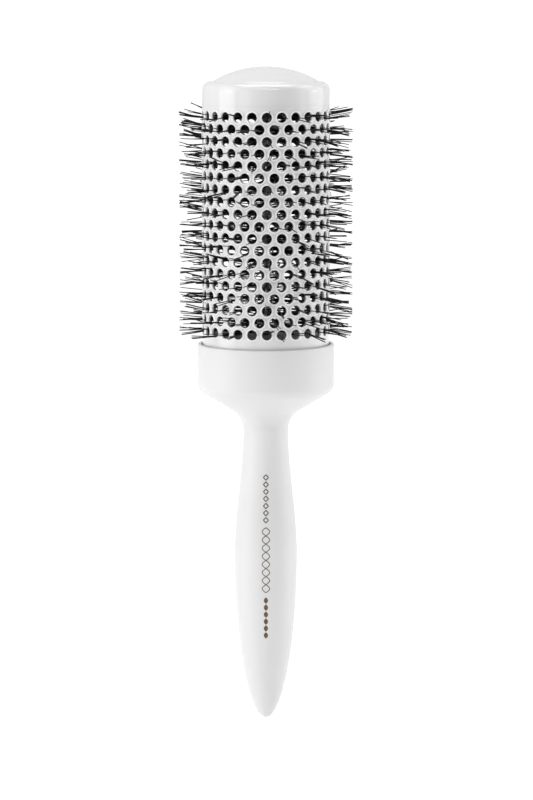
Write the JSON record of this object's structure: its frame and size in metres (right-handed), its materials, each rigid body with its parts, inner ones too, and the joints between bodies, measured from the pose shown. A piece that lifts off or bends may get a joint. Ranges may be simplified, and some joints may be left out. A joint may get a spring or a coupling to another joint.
{
  "type": "round barrel hair brush",
  "caption": "Round thermal hair brush: perforated barrel with nylon bristles through its vents, domed cap, flared collar and slim tapered grip.",
  "frame": {"origin": "on the brush's axis, at the thickest part of the grip, where a hand or a holder's fork closes round it", "axes": "+Z along the axis, from the handle's tip towards the domed cap; -Y faces the viewer; +X to the viewer's right"},
  "size_m": [0.0696, 0.0696, 0.2642],
  "materials": {
    "handle_plastic": "satin white moulding",
    "inner_plastic": "plain grey moulding",
    "coated_aluminium": "white ceramic coating, satin gloss",
    "cap_plastic": "glossy white",
    "steel_wire": "bright galvanised wire",
    "bristle_nylon": "black nylon filament"
  },
  "bodies": {
    "root": {"handle": "handle_plastic", "stem_plug": "inner_plastic", "base_plug": "inner_plastic", "barrel": "coated_aluminium", "end_cap": "cap_plastic", "core_wire_a": "steel_wire", "core_wire_b": "steel_wire", "bristle_row_01": "bristle_nylon", "bristle_row_02": "bristle_nylon", "bristle_row_03": "bristle_nylon", "bristle_row_04": "bristle_nylon", "bristle_row_05": "bristle_nylon", "bristle_row_06": "bristle_nylon", "bristle_row_07": "bristle_nylon", "bristle_row_08": "bristle_nylon", "bristle_row_09": "bristle_nylon", "bristle_row_10": "bristle_nylon", "bristle_row_11": "bristle_nylon", "bristle_row_12": "bristle_nylon", "bristle_row_13": "bristle_nylon", "bristle_row_14": "bristle_nylon", "bristle_row_15": "bristle_nylon", "bristle_row_16": "bristle_nylon", "bristle_row_17": "bristle_nylon", "bristle_row_18": "bristle_nylon", "bristle_row_19": "bristle_nylon"}
  },
  "joints": []
}
